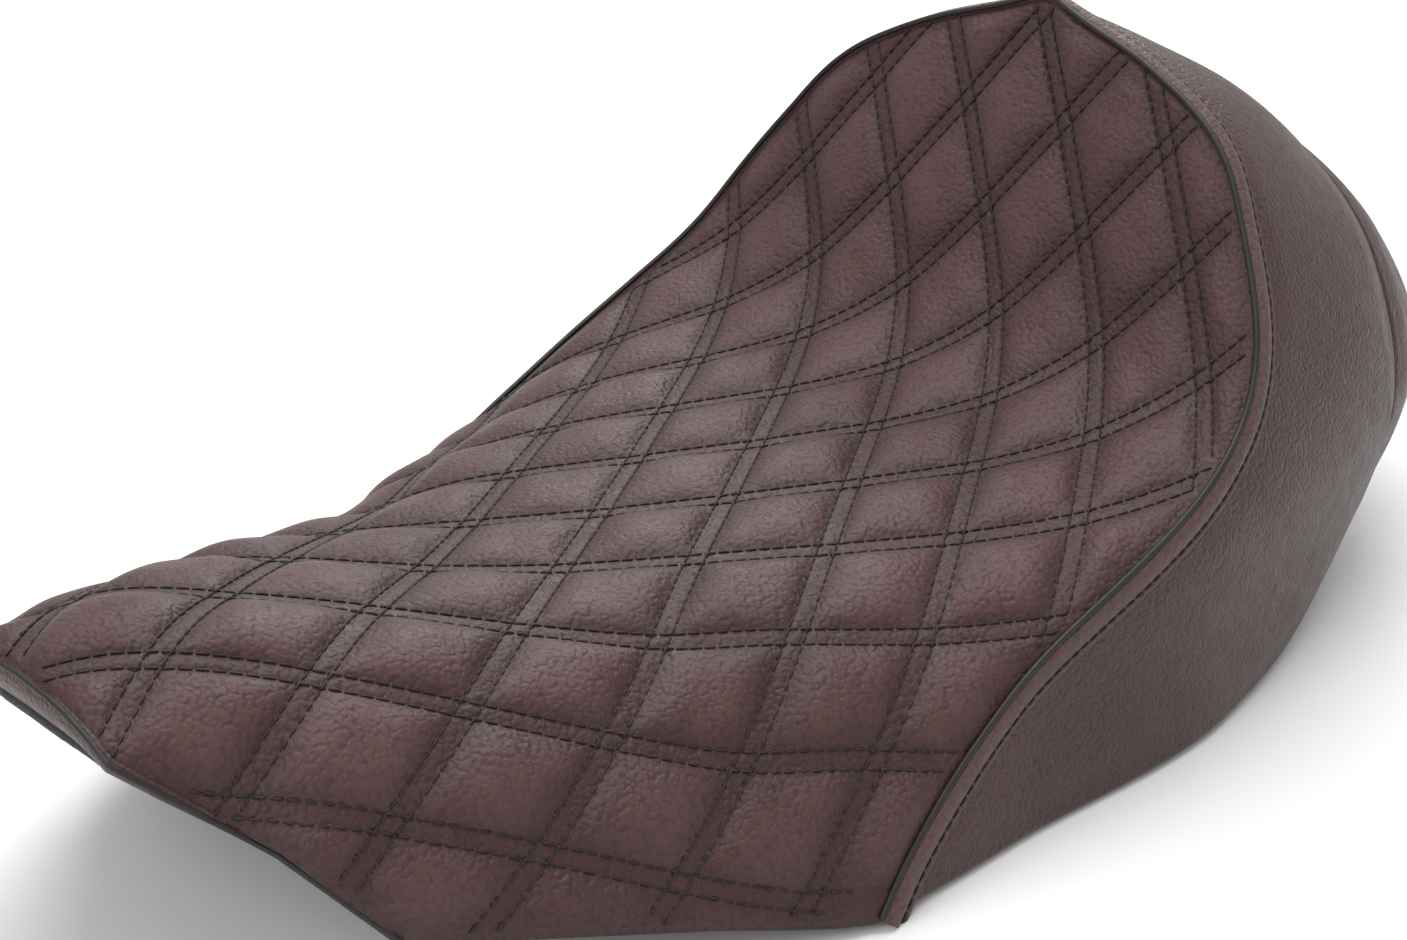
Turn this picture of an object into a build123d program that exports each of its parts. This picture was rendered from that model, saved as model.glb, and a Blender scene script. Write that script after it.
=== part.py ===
from build123d import *
import math
import os

# A solo motorcycle saddle: a quilted top panel that dips for the rider and turns up into a
# back rest, plain side skirts and a rear panel, over moulded foam on a plastic pan.
# +X is forward, +Y is the rider's left, +Z is up.  The origin is under the middle of the
# bounding box, on the surface that the hem stands on.  Millimetres throughout.

# ---------------------------------------------------------------- overall sizes
overall_length = 640.0
overall_width = 338.0       # that the width shares refer to; drawing in the skirt takes some off
overall_height = 232.0

# ---------------------------------------------------------------- layers
cover_thickness = 1.4       # upholstery leather
padding_thickness = 5.0     # soft foam that is quilted to the top panel
layer_gap = 0.25            # glue line between layers
pan_thickness = 4.0
hem_width = 24.0            # leather turned under the pan
welt_stand = 1.8            # how far the welt stands out of the skirt
welt_width = 9.0

# ---------------------------------------------------------------- hardware
strap_thickness = 3.0
tongue_width = 42.0
tongue_leg = 46.0           # leg riveted to the pan
tongue_drop = 13.0          # step down to the hooking leg
tongue_reach = 30.0         # hooking leg that slides under the frame tab
tongue_place = 0.20         # share of the length from the nose to the middle of the leg
bracket_width = 36.0
bracket_leg = 62.0
bracket_step = 9.0
bracket_reach = 34.0
bracket_place = 0.835
screw_hole_radius = 3.3     # clearance for an M6 seat screw
rivet_radius = 2.4
rivet_head_radius = 4.6
rivet_head_height = 1.8
rivet_clearance = 0.15
rivet_pitch = 24.0          # across the strap
plate_thickness = 1.6
boss_margin = 3.0
pocket_clearance = 0.3
bumper_radius = 13.0
bumper_height = 14.0
bumper_taper = 2.0
bumper_boss_height = 2.5
bumper_spread = 42.0        # from the centre line
front_bumper_place = 0.30
rear_bumper_place = 0.62
vent_radius = 4.0
staple_crown = 10.0
staple_wire = 0.8
staple_pitch = 30.0
staple_inset = 13.0         # from the edge of the hem
staple_gap = 0.1            # between a staple and the hem it is pressed into

half_width = overall_width / 2
rim_floor = cover_thickness    # height of the rim's lowest stretch
nose_x = overall_length / 2
rear_x = -overall_length / 2

# ---------------------------------------------------------------- outline tables
# Every station is a share of the length behind the nose; heights are shares of the overall
# height above the floor and widths are shares of the half width.

# side view of the top panel along the centre line: station, height
crown = [
    (-0.038, 0.452), (0.0, 0.492), (0.043, 0.517), (0.101, 0.495), (0.167, 0.451),
    (0.228, 0.412), (0.351, 0.386), (0.472, 0.396), (0.541, 0.410), (0.595, 0.440),
    (0.647, 0.529), (0.678, 0.669), (0.703, 0.824), (0.7256, 0.980), (0.755, 1.17),
    (0.84, 1.45), (1.06, 1.60),
]
# how the top panel rounds over: station, width where it has dropped, drop, fullness
round_over = [
    (-0.038, 0.24, 0.040, 2.6), (0.0, 0.26, 0.050, 2.6), (0.043, 0.345, 0.172, 2.6),
    (0.101, 0.559, 0.333, 2.8), (0.167, 0.684, 0.323, 2.8), (0.228, 0.771, 0.339, 3.0),
    (0.288, 0.852, 0.364, 3.1), (0.351, 0.894, 0.303, 3.8), (0.472, 0.894, 0.118, 3.5),
    (0.595, 0.894, 0.010, 3.0), (0.70, 0.894, 0.010, 3.0), (0.743, 0.894, 0.030, 2.5),
    (1.06, 0.894, 0.030, 2.5),
]
# plan outlines of the skirt: height, half width, station of the rear, squareness
skirt_levels = [
    (-0.03, 1.0, 0.955, 2.0), (0.18, 0.944, 0.998, 2.5), (0.38, 0.916, 1.006, 3.0),
    (0.585, 0.838, 0.963, 3.0), (0.747, 0.726, 0.897, 3.0), (0.869, 0.614, 0.835, 3.0),
    (0.95, 0.42, 0.783, 3.0), (1.0, 0.196, 0.747, 3.0),
]
skirt_round_start = 0.45    # station where the skirt starts to round in to the rear
skirt_front_share = 0.88    # half width at the front of the plan outline, of its widest
skirt_overrun = 30.0        # how far the outline runs on ahead of the nose
skirt_pinch = 0.065         # share of the width that is drawn in ahead of the rider's thighs
pinch_begins = 0.617        # station
pinch_full = 0.43
skirt_overturn = 1.02       # the surface passes the middle of the rear by this much
skirt_straight_share = 0.25  # share of the outline's points that lie ahead of the rounding
# side view of the rim that the hem lies on: station, height above the rim's lowest stretch
rim = [
    (-0.06, 0.29), (0.03, 0.24), (0.101, 0.156), (0.167, 0.118), (0.228, 0.072),
    (0.30, 0.016), (0.36, 0.003), (0.43, 0.001), (0.50, 0.0), (0.57, 0.001), (0.63, 0.003),
    (0.72, 0.018),
    (0.80, 0.095), (0.88, 0.195), (1.0, 0.290), (1.05, 0.310),
]
# side view of the tunnel roof under the pan: station, height
roof = [
    (-0.06, 0.60), (0.0, 0.50), (0.101, 0.395), (0.15, 0.358), (0.20, 0.333),
    (0.25, 0.305), (0.30, 0.272), (0.40, 0.240), (0.55, 0.236), (0.65, 0.262), (0.74, 0.330),
    (0.82, 0.385), (0.90, 0.402), (1.0, 0.404), (1.05, 0.404),
]
# side view of the front edge: station, height
front_edge = [
    (0.0, 0.70), (0.0, 0.50), (0.003, 0.444), (0.036, 0.354), (0.060, 0.293),
    (0.0975, 0.162), (0.14, -0.06),
]
trim_top_share = 0.293      # height where the nose band ends and the rubber trim begins

tunnel_half_width = 80.0
nose_thickness = 13.0       # the nose is this thick, and the wall beside the front arch
rear_seam_station = 0.81    # where the side skirts meet the rear panel, at floor level
rear_seam_lean = math.radians(13.8)   # that seam leans to the rear as it rises

rows_along = 30
columns_across = 15
rows_up = 14
columns_round = 34
deep = 400.0                # how far the cutting solids reach past the object


# ---------------------------------------------------------------- helpers
def along(station):
    """X of a station given as a share of the length behind the nose."""
    return nose_x - station * overall_length


def station_values(table, station):
    """The other columns of a table at a station, by a smooth cubic through its rows."""
    last = len(table) - 2
    i = max(0, min(last, sum(1 for row in table if row[0] <= station) - 1))
    low, high = table[i], table[i + 1]
    span = high[0] - low[0]
    t = (station - low[0]) / span
    before = table[max(i - 1, 0)]
    after = table[min(i + 2, last + 1)]
    values = []
    for k in range(1, len(low)):
        slope_low = (high[k] - before[k]) / (high[0] - before[0]) * span
        slope_high = (after[k] - low[k]) / (after[0] - low[0]) * span
        h00 = (1 + 2 * t) * (1 - t) ** 2
        h10 = t * (1 - t) ** 2
        h01 = t * t * (3 - 2 * t)
        h11 = t * t * (t - 1)
        values.append(h00 * low[k] + h10 * slope_low + h01 * high[k] + h11 * slope_high)
    return values


with BuildLine(Plane.XZ) as crown_line:
    Spline(*[(along(s), h * overall_height) for s, h in crown])
crown_curve = crown_line.line


def top_point(u, v):
    """A point of the top surface: u runs from the nose to above the back rest."""
    spine = crown_curve @ u
    station = (nose_x - spine.X) / overall_length
    width, drop, fullness = station_values(round_over, station)
    reach = 1.16 * width * half_width
    y = v * max(reach, 0.30 * half_width)
    fall = drop * overall_height * abs(y / (width * half_width)) ** fullness
    return Vector(spine.X, y, spine.Z - fall)


def top_face():
    """The top surface of the whole saddle, which runs on past its edges."""
    grid = []
    for i in range(rows_along + 1):
        row = []
        for j in range(-columns_across, columns_across + 1):
            v = math.sin(j / columns_across * math.pi / 2)
            row.append(top_point(i / rows_along, v))
        grid.append(row)
    return Face.make_surface_from_array_of_points(grid)


top_surface = top_face()


def below_top(depth):
    """All space under the top surface moved down, and half as far to the rear, by depth."""
    return Solid.extrude(Pos(-depth / 2, 0, -depth) * top_surface, Vector(0, 0, -deep))


def lowered_top(drop):
    """All space under the top surface moved straight down by drop."""
    return Solid.extrude(Pos(0, 0, -drop) * top_surface, Vector(0, 0, -deep))


def side_view(points, ceiling):
    """A side view face under a curve through points, or above it up to a ceiling."""
    far = points[-1][0]
    with BuildSketch(Plane.XZ) as view:
        with BuildLine():
            Spline(*points)
            Polyline(points[-1], (far, ceiling), (points[0][0], ceiling), points[0])
        make_face()
    return view.sketch


def curve_points(table, lift):
    """A side view table as points in millimetres, moved up by lift."""
    return [(along(s), h * overall_height + lift) for s, h in table]


def above_rim(lift):
    """All space above the rim moved up by lift."""
    view = side_view(curve_points(rim, rim_floor + lift), deep)
    return extrude(view, amount=deep, both=True).solid()


def hollow(grow):
    """The tunnel under the pan, made larger all round by grow."""
    under_roof = side_view(curve_points(roof, grow), -deep)
    passage = extrude(under_roof, amount=tunnel_half_width + grow, both=True)
    return passage.solid() & lowered_top(nose_thickness - grow)


def pinched(x):
    """Share of the width that the skirt keeps at x: a smooth step down towards the front."""
    t = (x - along(pinch_begins)) / (along(pinch_full) - along(pinch_begins))
    t = max(0.0, min(1.0, t))
    return 1 - skirt_pinch * t * t * (3 - 2 * t)


def skirt_point(u, w):
    """A point of the left side of the skirt: u runs from the front round to the middle of
    the rear, w from the foot of the object to its top."""
    lowest = skirt_levels[0][0]
    share = lowest + (skirt_levels[-1][0] - lowest) * w
    width_share, rear_station, squareness = station_values(skirt_levels, share)
    half = width_share * half_width
    start = along(skirt_round_start)
    depth = start - along(rear_station)
    z = share * overall_height
    if u < skirt_straight_share:
        t = u / skirt_straight_share
        x = (nose_x + skirt_overrun) + (start - nose_x - skirt_overrun) * t
        y = half * (1 - (1 - skirt_front_share) * (1 - t) ** 2)
        return Vector(x, y * pinched(x), z)
    angle = math.pi / 2 * (u - skirt_straight_share) / (1 - skirt_straight_share)
    angle = angle * skirt_overturn
    x = start - depth * math.sin(angle) ** (2 / squareness)
    y = half * math.copysign(abs(math.cos(angle)) ** (2 / squareness), math.cos(angle))
    return Vector(x, y * pinched(x), z)


def skirt_face():
    """The left side of the skirt's outer surface."""
    wall = []
    for i in range(rows_up + 1):
        wall.append([skirt_point(j / columns_round, i / rows_up) for j in range(columns_round + 1)])
    return Face.make_surface_from_array_of_points(wall)


skirt_surface = skirt_face()


def right_of_skirt(inset):
    """All space to the right of the skirt's left side moved inwards by inset."""
    return Solid.extrude(Pos(inset, -inset, -inset) * skirt_surface, Vector(0, -deep, 0))


def inside_skirt(inset):
    """The left half of all space inside the skirt's surface moved inwards by inset."""
    return right_of_skirt(inset) & Pos(0, deep, 0) * Box(3 * deep, 2 * deep, 3 * deep)


def behind_front(inset):
    """All space behind the front edge moved rearwards by inset."""
    with BuildPart() as space:
        with BuildSketch(Plane.XZ):
            with BuildLine():
                points = [(along(s) - inset, h * overall_height) for s, h in front_edge]
                edge = Polyline(*points)
                Polyline(points[-1], (rear_x - deep, points[-1][1] - deep),
                         (rear_x - deep, points[0][1] + deep),
                         (points[0][0], points[0][1] + deep), points[0])
            make_face()
        extrude(amount=overall_width, both=True)
    return space.part.solid()


def biggest(shape):
    """The main solid of a cut, without slivers."""
    return sorted(shape.solids(), key=lambda solid: solid.volume)[-1]


def roof_height(station):
    """Height of the tunnel roof at a station."""
    return station_values(roof, station)[0] * overall_height


# ---------------------------------------------------------------- the spaces between layers
skirt_outer = inside_skirt(welt_stand)
skirt_inner = inside_skirt(welt_stand + cover_thickness)
skirt_core = inside_skirt(welt_stand + cover_thickness + layer_gap)
welt_outer = inside_skirt(0)
top_outer = below_top(0)
top_inner = below_top(cover_thickness)
top_core = below_top(cover_thickness + layer_gap)
front_outer = behind_front(0)
front_inner = behind_front(cover_thickness)
front_core = behind_front(cover_thickness + layer_gap)
rim_space = above_rim(0)
tunnel = hollow(0)
padding_depth = cover_thickness + layer_gap + padding_thickness
padding_back = below_top(padding_depth)
foam_top = below_top(padding_depth + layer_gap)



def common(*spaces):
    """The one solid that all the spaces share."""
    shared = spaces[0]
    for space in spaces[1:]:
        shared = biggest(shared & space)
    return shared


outer_body = biggest(common(skirt_outer, rim_space, front_outer, top_outer) - tunnel)
core_body = biggest(common(skirt_core, rim_space, front_core, top_core) - tunnel)
foam_zone = above_rim(pan_thickness) - hollow(pan_thickness)
soft_zone = above_rim(pan_thickness + layer_gap) - hollow(pan_thickness + layer_gap)

os.makedirs("parts", exist_ok=True)

# ---------------------------------------------------------------- places of the hardware
tongue_x = along(tongue_place)
tongue_low = roof_height(tongue_place + tongue_leg / 2 / overall_length) - boss_margin / 2
tongue_high = roof_height(tongue_place - tongue_leg / 2 / overall_length) + pan_thickness + 1
bracket_x = along(bracket_place)
bracket_low = roof_height(bracket_place - bracket_leg / 2 / overall_length) - boss_margin / 2
bracket_high = roof_height(bracket_place + bracket_leg / 2 / overall_length) + pan_thickness + 1


def boss_block(x, leg, width, low, high, grow):
    """The solid block in the pan that a strap is riveted to."""
    length = leg + 2 * boss_margin + 2 * grow
    across = width + 2 * boss_margin + 2 * grow
    return Pos(x, 0, (low + high) / 2) * Box(length, across, high - low)


def rivet_places(x, leg):
    """The four rivets of a strap, in the XY plane."""
    return [(x + side * leg * 0.28, row * rivet_pitch / 2) for side in (-1, 1) for row in (-1, 1)]


tongue_boss = boss_block(tongue_x, tongue_leg, tongue_width, tongue_low, tongue_high, 0)
bracket_boss = boss_block(bracket_x, bracket_leg, bracket_width, bracket_low, bracket_high, 0)
pocket_height = plate_thickness + rivet_head_height + 2 * pocket_clearance
tongue_pocket = boss_block(tongue_x, tongue_leg, tongue_width, tongue_low,
                           tongue_high + pocket_height, pocket_clearance)
bracket_pocket = boss_block(bracket_x, bracket_leg, bracket_width, bracket_low,
                            bracket_high + pocket_height, pocket_clearance)
bumper_places = [(along(place), side * bumper_spread)
                 for place in (front_bumper_place, rear_bumper_place) for side in (1, -1)]


def bumper_roof(place, choose):
    """The lowest or highest roof over a bumper."""
    reach = (bumper_radius + 1) / overall_length
    return choose(roof_height(place - reach), roof_height(place), roof_height(place + reach))


bumper_tops = [bumper_roof(place, min) - bumper_boss_height
               for place in (front_bumper_place, rear_bumper_place) for side in (1, -1)]
bumper_roofs = [bumper_roof(place, max) + pan_thickness / 4
                for place in (front_bumper_place, rear_bumper_place) for side in (1, -1)]

# ---------------------------------------------------------------- seat pan
with BuildPart() as seat_pan:
    add(biggest(core_body - foam_zone))
    mirror(about=Plane.XZ)
    add(tongue_boss)
    add(bracket_boss)
    for (x, y), top, above in zip(bumper_places, bumper_tops, bumper_roofs):
        with BuildSketch(Plane.XY.offset(top)):
            with Locations((x, y)):
                Circle(bumper_radius + 1)
        extrude(amount=above - top)
    for x, leg, low, high in ((tongue_x, tongue_leg, tongue_low, tongue_high),
                              (bracket_x, bracket_leg, bracket_low, bracket_high)):
        with BuildSketch(Plane.XY.offset(low - 1)):
            with Locations(*rivet_places(x, leg)):
                Circle(rivet_radius + rivet_clearance)
        extrude(amount=high - low + 2, mode=Mode.SUBTRACT)
    with BuildSketch(Plane.XY.offset(tongue_low)):
        with Locations(*[(along(s), y) for s in (0.46, 0.54, 0.70) for y in (-30, 30)]):
            Circle(vent_radius)
    extrude(amount=overall_height / 2, mode=Mode.SUBTRACT)

# ---------------------------------------------------------------- foam core
with BuildPart() as foam_core:
    add(common(core_body, soft_zone, foam_top))
    mirror(about=Plane.XZ)
    add(tongue_pocket, mode=Mode.SUBTRACT)
    add(bracket_pocket, mode=Mode.SUBTRACT)

# ---------------------------------------------------------------- padding quilted to the top
with BuildPart() as quilt_padding:
    add(biggest(common(core_body, soft_zone) - padding_back))
    mirror(about=Plane.XZ)

# ---------------------------------------------------------------- quilted top panel
with BuildPart() as cover_top:
    add(biggest(common(outer_body, skirt_inner, front_inner) - top_inner))
    mirror(about=Plane.XZ)

# ---------------------------------------------------------------- side skirts and rear panel
skirt_shell = biggest(outer_body - skirt_inner)
seam_plane = Plane(origin=(along(rear_seam_station), 0, 0), x_dir=(0, 1, 0),
                   z_dir=(math.cos(rear_seam_lean), 0, math.sin(rear_seam_lean)))
with BuildPart() as cover_rear:
    add(skirt_shell)
    split(bisect_by=seam_plane, keep=Keep.BOTTOM)
    mirror(about=Plane.XZ)
with BuildPart() as cover_skirt_left:
    add(skirt_shell)
    split(bisect_by=seam_plane, keep=Keep.TOP)
with BuildPart() as cover_skirt_right:
    add(mirror(cover_skirt_left.part, about=Plane.XZ, mode=Mode.PRIVATE))

# ---------------------------------------------------------------- front band and its trim
front_shell = biggest(common(outer_body, skirt_inner) - front_inner)
band_plane = Plane.XY.offset(trim_top_share * overall_height)
with BuildPart() as nose_band:
    add(front_shell)
    split(bisect_by=band_plane, keep=Keep.TOP)
    mirror(about=Plane.XZ)
with BuildPart() as front_trim:
    add(front_shell)
    split(bisect_by=band_plane, keep=Keep.BOTTOM)
    mirror(about=Plane.XZ)

# ---------------------------------------------------------------- welt over the top seam
welt_strip = biggest(common(welt_outer, rim_space, top_outer) - skirt_outer)
welt_left = biggest(welt_strip - below_top(welt_width))
seam_welt = Compound(children=[welt_left, mirror(welt_left, about=Plane.XZ)])

# ---------------------------------------------------------------- hem turned under the pan
hem_slab = common(skirt_outer, above_rim(-cover_thickness), front_outer, top_outer) - rim_space
hem_slab = biggest(biggest(hem_slab) - tunnel)
hem_middle = common(hem_slab, right_of_skirt(welt_stand + hem_width), lowered_top(1.6 * hem_width))

# ---------------------------------------------------------------- staples pressed into the hem
staples = []
staple_slots = []
staple_count = int(0.54 * overall_length / staple_pitch)
for i in range(staple_count):
    station = 0.345 + 0.54 * i / staple_count
    x = along(station)
    ahead = station_values(rim, station - 0.004)[0]
    behind = station_values(rim, station + 0.004)[0]
    slope = math.atan2((ahead - behind) * overall_height, 0.008 * overall_length)
    rise = max(0.0, station_values(rim, station)[0] * overall_height)
    width_share, rear_station, squareness = station_values(skirt_levels, rise / overall_height)
    start = along(skirt_round_start)
    t = max(0.0, (start - x) / (start - along(rear_station)))
    edge = pinched(x) * width_share * half_width * (1 - t ** squareness) ** (1 / squareness)
    for side in (1, -1):
        y = side * (edge - welt_stand - staple_inset)
        turn = Rot(0, -math.degrees(slope), 0)
        crown_bar = Box(staple_crown, staple_wire, staple_wire - 2 * staple_gap)
        slot = Box(staple_crown + 4 * staple_gap, staple_wire + 2 * staple_gap, 2 * staple_wire)
        staples.append(Pos(x, y, rise + staple_wire / 2) * turn * crown_bar)
        staple_slots.append(Pos(x, y, rise) * turn * slot)
hem_staples = Compound(children=staples)
with BuildPart() as hem:
    add(biggest(hem_slab - hem_middle))
    mirror(about=Plane.XZ)
    add(staple_slots, mode=Mode.SUBTRACT)

# ---------------------------------------------------------------- front tongue
tongue_front = tongue_x + tongue_leg / 2
with BuildPart() as front_tongue:
    with BuildSketch(Plane.XZ):
        with BuildLine():
            upper = [(tongue_front - tongue_leg, tongue_low), (tongue_front, tongue_low),
                     (tongue_front + 8, tongue_low - tongue_drop),
                     (tongue_front + 8 + tongue_reach, tongue_low - tongue_drop)]
            lower = [(x - 1, z - strap_thickness) for x, z in reversed(upper[1:3])]
            Polyline(*upper, (upper[-1][0], upper[-1][1] - strap_thickness), *lower,
                     (upper[0][0], upper[0][1] - strap_thickness), upper[0])
        make_face()
    extrude(amount=tongue_width / 2, both=True)
    fillet(front_tongue.edges().filter_by(Axis.Z).group_by(Axis.X)[-1], 8)
    with BuildSketch(Plane.XY.offset(tongue_low - strap_thickness - 1)):
        with Locations(*rivet_places(tongue_x, tongue_leg)):
            Circle(rivet_radius + rivet_clearance)
    extrude(amount=strap_thickness + 2, mode=Mode.SUBTRACT)

# ---------------------------------------------------------------- rear bracket
bracket_rear = bracket_x - bracket_leg / 2
bracket_end = bracket_rear - 8 - bracket_reach
hole_x = bracket_end + bracket_width / 2
hole_z = bracket_low - bracket_step
with BuildPart() as rear_bracket:
    with BuildSketch(Plane.XZ):
        with BuildLine():
            upper = [(bracket_rear + bracket_leg, bracket_low), (bracket_rear, bracket_low),
                     (bracket_rear - 8, hole_z), (bracket_end, hole_z)]
            lower = [(x + 1, z - strap_thickness) for x, z in reversed(upper[1:3])]
            Polyline(*upper, (bracket_end, hole_z - strap_thickness), *lower,
                     (upper[0][0], bracket_low - strap_thickness), upper[0])
        make_face()
    extrude(amount=bracket_width / 2, both=True)
    fillet(rear_bracket.edges().filter_by(Axis.Z).group_by(Axis.X)[0], bracket_width / 2 - 1)
    with BuildSketch(Plane.XY.offset(bracket_low - strap_thickness - 1)):
        with Locations(*rivet_places(bracket_x, bracket_leg)):
            Circle(rivet_radius + rivet_clearance)
    extrude(amount=strap_thickness + 2, mode=Mode.SUBTRACT)
    with BuildSketch(Plane.XY.offset(hole_z - strap_thickness - 1)):
        with Locations((hole_x, 0)):
            Circle(screw_hole_radius)
    extrude(amount=strap_thickness + 2, mode=Mode.SUBTRACT)


# ---------------------------------------------------------------- rivets and backing plates
def rivets(x, leg, low, high):
    """Four rivets: a low head under the strap, a shank, and a set tail on the plate."""
    with BuildPart() as group:
        bottom = low - strap_thickness
        top = high + plate_thickness
        with Locations(*[(px, py, 0) for px, py in rivet_places(x, leg)]):
            with Locations((0, 0, bottom - rivet_head_height / 2)):
                Cone(rivet_head_radius * 0.6, rivet_head_radius, rivet_head_height)
            with Locations((0, 0, (bottom + top) / 2)):
                Cylinder(rivet_radius, top - bottom)
            with Locations((0, 0, top + rivet_head_height / 2)):
                Cylinder(rivet_head_radius * 0.85, rivet_head_height)
    return group.part


def backing_plate(x, leg, width, high):
    """A steel plate on top of the pan that spreads the rivets' load."""
    with BuildPart() as plate:
        with BuildSketch(Plane.XY.offset(high)):
            with Locations((x, 0)):
                RectangleRounded(leg, width, 4)
            with Locations(*rivet_places(x, leg)):
                Circle(rivet_radius + rivet_clearance, mode=Mode.SUBTRACT)
        extrude(amount=plate_thickness)
    return plate.part


front_rivets = rivets(tongue_x, tongue_leg, tongue_low, tongue_high)
rear_rivets = rivets(bracket_x, bracket_leg, bracket_low, bracket_high)
front_backing_plate = backing_plate(tongue_x, tongue_leg, tongue_width, tongue_high)
rear_backing_plate = backing_plate(bracket_x, bracket_leg, bracket_width, bracket_high)


# ---------------------------------------------------------------- rubber bumpers
def bumper(x, y, top):
    """A tapered rubber foot under a boss of the pan, which rests on the frame rail."""
    with BuildPart() as foot:
        with BuildSketch(Plane.XY.offset(top)):
            with Locations((x, y)):
                Circle(bumper_radius)
        with BuildSketch(Plane.XY.offset(top - bumper_height)):
            with Locations((x, y)):
                Circle(bumper_radius - bumper_taper)
        loft()
        fillet(foot.edges().group_by(Axis.Z)[0], 1.5)
    return foot.part


nodes = {
    "seat_pan": seat_pan.part,
    "foam_core": foam_core.part,
    "quilt_padding": quilt_padding.part,
    "cover_top": cover_top.part,
    "cover_rear": cover_rear.part,
    "cover_skirt_left": cover_skirt_left.part,
    "cover_skirt_right": cover_skirt_right.part,
    "nose_band": nose_band.part,
    "front_trim": front_trim.part,
    "seam_welt": seam_welt,
    "hem": hem.part,
    "hem_staples": hem_staples,
    "front_tongue": front_tongue.part,
    "front_rivets": front_rivets,
    "front_backing_plate": front_backing_plate,
    "rear_bracket": rear_bracket.part,
    "rear_rivets": rear_rivets,
    "rear_backing_plate": rear_backing_plate,
}
bumper_names = ["bumper_front_left", "bumper_front_right", "bumper_rear_left", "bumper_rear_right"]
for name, (x, y), top in zip(bumper_names, bumper_places, bumper_tops):
    nodes[name] = bumper(x, y, top)

for name, piece in nodes.items():
    piece.label = name
    export_step(piece, f"parts/{name}.step")
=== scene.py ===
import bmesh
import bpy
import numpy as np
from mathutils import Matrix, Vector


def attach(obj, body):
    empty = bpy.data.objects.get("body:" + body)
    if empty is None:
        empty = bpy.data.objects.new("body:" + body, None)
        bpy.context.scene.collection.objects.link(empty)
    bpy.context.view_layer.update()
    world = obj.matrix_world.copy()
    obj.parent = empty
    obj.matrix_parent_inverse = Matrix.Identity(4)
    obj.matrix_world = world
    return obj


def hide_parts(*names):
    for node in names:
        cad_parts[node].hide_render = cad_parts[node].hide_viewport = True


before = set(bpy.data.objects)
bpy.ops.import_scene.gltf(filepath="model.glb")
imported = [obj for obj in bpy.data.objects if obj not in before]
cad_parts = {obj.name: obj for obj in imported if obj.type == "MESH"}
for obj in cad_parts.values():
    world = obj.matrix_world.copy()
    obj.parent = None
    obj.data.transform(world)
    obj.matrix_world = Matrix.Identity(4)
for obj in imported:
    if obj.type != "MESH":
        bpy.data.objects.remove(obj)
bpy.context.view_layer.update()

# %% [markdown]
# A solo motorcycle seat. Leather-grained vinyl is sewn to soft padding in diamonds, stretched
# over moulded foam and stapled under a plastic pan. The pan, its steel straps and its rubber
# feet come from the CAD model as they are. Everything soft is worked out here as surfaces:
# a point on each one is a formula of two numbers, and numpy computes all the points at once.

# %% [markdown]
# The real seat is patterned from a few curves: the line of the saddle seen from the side, how
# the top rounds over to each flank, and the plan outline of the skirt at several heights.
# The same tables drive the CAD model, so the leather lies where the foam ends. Sizes are in
# millimetres here and become metres when a mesh is made. Columns hold shares of the length, of
# the half width or of the height. WIDTH is the width they refer to: the skirt is drawn in from
# it, from the middle of the seat forwards, so the finished seat is a little narrower.

# %% Overall sizes and the pattern's curves
LENGTH, WIDTH, HEIGHT = 640.0, 338.0, 232.0
HALF = WIDTH / 2
NOSE = LENGTH / 2
CROWN = [(-0.038, 0.452), (0.0, 0.492), (0.043, 0.517), (0.101, 0.495), (0.167, 0.451),
         (0.228, 0.412), (0.351, 0.386), (0.472, 0.396), (0.541, 0.410), (0.595, 0.440),
         (0.647, 0.529), (0.678, 0.669), (0.703, 0.824), (0.7256, 0.980), (0.755, 1.17),
         (0.84, 1.45), (1.06, 1.60)]
ROUND_OVER = [(-0.038, 0.24, 0.040, 2.6), (0.0, 0.26, 0.050, 2.6), (0.043, 0.345, 0.172, 2.6),
              (0.101, 0.559, 0.333, 2.8), (0.167, 0.684, 0.323, 2.8), (0.228, 0.771, 0.339, 3.0),
              (0.288, 0.852, 0.364, 3.1), (0.351, 0.894, 0.303, 3.8), (0.472, 0.894, 0.118, 3.5),
              (0.595, 0.894, 0.010, 3.0), (0.70, 0.894, 0.010, 3.0), (0.743, 0.894, 0.030, 2.5),
              (1.06, 0.894, 0.030, 2.5)]
SKIRT = [(-0.03, 1.0, 0.955, 2.0), (0.18, 0.944, 0.998, 2.5), (0.38, 0.916, 1.006, 3.0),
         (0.585, 0.838, 0.963, 3.0), (0.747, 0.726, 0.897, 3.0), (0.869, 0.614, 0.835, 3.0),
         (0.95, 0.42, 0.783, 3.0), (1.0, 0.196, 0.747, 3.0)]
RIM = [(-0.06, 0.29), (0.03, 0.24), (0.101, 0.156), (0.167, 0.118), (0.228, 0.072),
       (0.30, 0.016), (0.36, 0.003), (0.43, 0.001), (0.50, 0.0), (0.57, 0.001), (0.63, 0.003),
       (0.72, 0.018), (0.80, 0.095), (0.88, 0.195), (1.0, 0.290), (1.05, 0.310)]
ARCH_TOP, ARCH_HALF_WIDTH = 94.2, 80.0
FRONT_EDGE = [(0.0, 0.50), (0.003, 0.444), (0.036, 0.354), (0.060, 0.293), (0.0975, 0.162),
              (0.14, -0.06)]
ROUNDING_STARTS, FRONT_SHARE, OVERRUN = 0.45, 0.88, 30.0
PINCH, PINCH_BEGINS, PINCH_FULL = 0.065, 0.617, 0.43
WELT_STANDS = 1.8
LEATHER = 1.4
REAR_SEAM_X = NOSE - 0.81 * LENGTH
REAR_SEAM_LEAN = np.tan(np.radians(13.8))


def along(station):
    """X of a station: the nose minus the station's share of the length."""
    return NOSE - np.asarray(station) * LENGTH


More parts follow.
